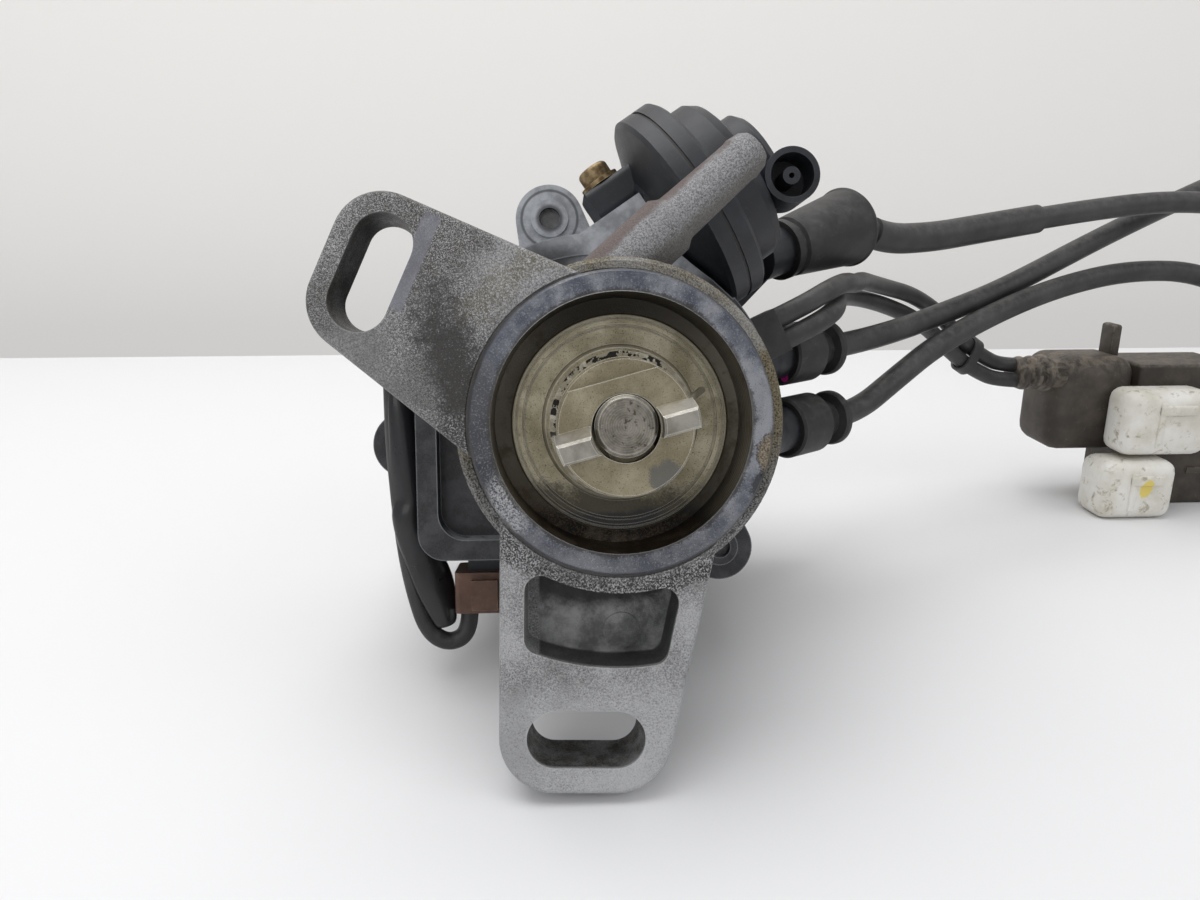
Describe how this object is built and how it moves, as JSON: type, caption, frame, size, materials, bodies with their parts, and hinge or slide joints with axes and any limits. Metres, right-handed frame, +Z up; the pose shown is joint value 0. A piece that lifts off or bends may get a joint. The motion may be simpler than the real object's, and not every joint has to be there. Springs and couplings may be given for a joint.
{
  "type": "ignition distributor",
  "caption": "Ignition distributor with slotted clamping lugs, a dog coupling in its mouth, a vacuum advance unit, a side-entry cap with leads, and a wiring connector.",
  "frame": {"origin": "on the shaft's axis, at the face of the machined ring round the mouth", "axes": "+Z is up as it lies on the bench, +X runs towards the lead towers, and the mouth looks along -Y, tipped up by 12.1 degrees"},
  "size_m": [0.3663, 0.1866, 0.1303],
  "materials": {
    "cast_aluminium": "rough speckled casting",
    "black_rubber": "matt",
    "bearing_steel": "bright",
    "bronze": "dull",
    "shaft_steel": "oily",
    "plated_steel": "olive plated",
    "spring_steel": "dull",
    "dark_plastic": "matt",
    "rotor_plastic": "matt",
    "brass": "bright",
    "gold_zinc": "yellow zinc",
    "terminal_aluminium": "plain",
    "carbon": "matt",
    "red_brown_plastic": "matt",
    "black_vinyl": "glossy",
    "brown_plastic": "matt",
    "white_nylon": "matt"
  },
  "bodies": {
    "housing": {"housing": "cast_aluminium", "oil_seal": "black_rubber", "shaft_bearing": "bearing_steel", "rear_bush": "bronze", "vacuum_front_shell": "dark_plastic", "vacuum_rear_shell": "dark_plastic", "vacuum_diaphragm": "black_rubber", "vacuum_spring": "spring_steel", "vacuum_screw": "gold_zinc", "cap": "dark_plastic", "cap_terminals": "terminal_aluminium", "cap_seal": "black_rubber", "cap_screws": "bearing_steel", "carbon_brush": "carbon", "brush_spring": "spring_steel", "igniter": "dark_plastic", "igniter_plug": "red_brown_plastic", "pickup_grommet": "black_rubber", "harness_grommet": "black_rubber", "pickup_lead": "black_vinyl", "pickup_sleeve": "black_vinyl", "coil_boot": "black_rubber", "plug_lead_boot_upper": "black_rubber", "plug_lead_boot_lower": "black_rubber", "coil_lead": "black_vinyl", "plug_lead_upper": "black_vinyl", "plug_lead_lower": "black_vinyl", "coil_lead_sleeve": "black_vinyl", "coil_end_boot": "black_rubber", "plug_end_boot_upper": "black_rubber", "plug_end_boot_lower": "black_rubber", "harness_cable_lower": "black_vinyl", "harness_cable_upper": "black_vinyl", "cable_tie": "black_vinyl", "connector_hood": "brown_plastic", "connector_shell_lower": "white_nylon", "connector_shell_upper": "white_nylon", "connector_block": "brown_plastic"},
    "shaft": {"drive_shaft": "shaft_steel", "coupling_hub": "plated_steel", "coupling_pin": "shaft_steel", "retaining_band": "spring_steel", "thrust_washer": "shaft_steel", "governor_plate": "shaft_steel", "governor_springs": "spring_steel"},
    "coupling": {"dog_ring": "plated_steel"},
    "cam": {"cam_sleeve": "shaft_steel", "reluctor": "shaft_steel", "rotor_arm": "rotor_plastic", "rotor_contact": "brass"},
    "weight_a": {"governor_weight_a": "shaft_steel"},
    "weight_b": {"governor_weight_b": "shaft_steel"},
    "plate": {"advance_plate": "plated_steel", "pickup_coil": "dark_plastic"},
    "vacuum_link": {"vacuum_rod": "shaft_steel"}
  },
  "joints": [
    {"name": "shaft_spin", "type": "hinge", "parent": "housing", "child": "shaft", "pos_m": [0, 0, 0], "axis": [0, -0.9777, 0.2101], "continuous": true},
    {"name": "coupling_float", "type": "slide", "parent": "shaft", "child": "coupling", "axis": [-0.2588, 0.203, 0.9444], "range_m": [-0.00005, 0.00095]},
    {"name": "cam_advance", "type": "hinge", "parent": "shaft", "child": "cam", "pos_m": [0, 0, 0], "axis": [0, -0.9777, 0.2101], "range_deg": [0, 12], "stiffness_Nm_per_rad": 0.05},
    {"name": "weight_a_swing", "type": "hinge", "parent": "shaft", "child": "weight_a", "pos_m": [0.0095, 0.05039, 0.006], "axis": [0, 0.9777, -0.2101], "range_deg": [0, 20.01]},
    {"name": "weight_b_swing", "type": "hinge", "parent": "shaft", "child": "weight_b", "pos_m": [-0.0095, 0.04347, -0.02617], "axis": [0, 0.9777, -0.2101], "range_deg": [0, 20.01]},
    {"name": "plate_swing", "type": "hinge", "parent": "housing", "child": "plate", "pos_m": [0, 0, 0], "axis": [0, 0.9777, -0.2101], "range_deg": [0, 10]},
    {"name": "vacuum_pull", "type": "slide", "parent": "housing", "child": "vacuum_link", "axis": [0.829, 0.1175, 0.5467], "range_m": [0, 0.00502], "stiffness_N_per_m": 120, "deforming": ["vacuum_spring", "vacuum_diaphragm"]}
  ],
  "couplings": [
    {"joint": "weight_a_swing", "follows": "cam_advance", "ratio": 1.6667},
    {"joint": "weight_b_swing", "follows": "cam_advance", "ratio": 1.6667},
    {"joint": "plate_swing", "follows": "vacuum_pull", "rad_per_m": 34.722}
  ]
}
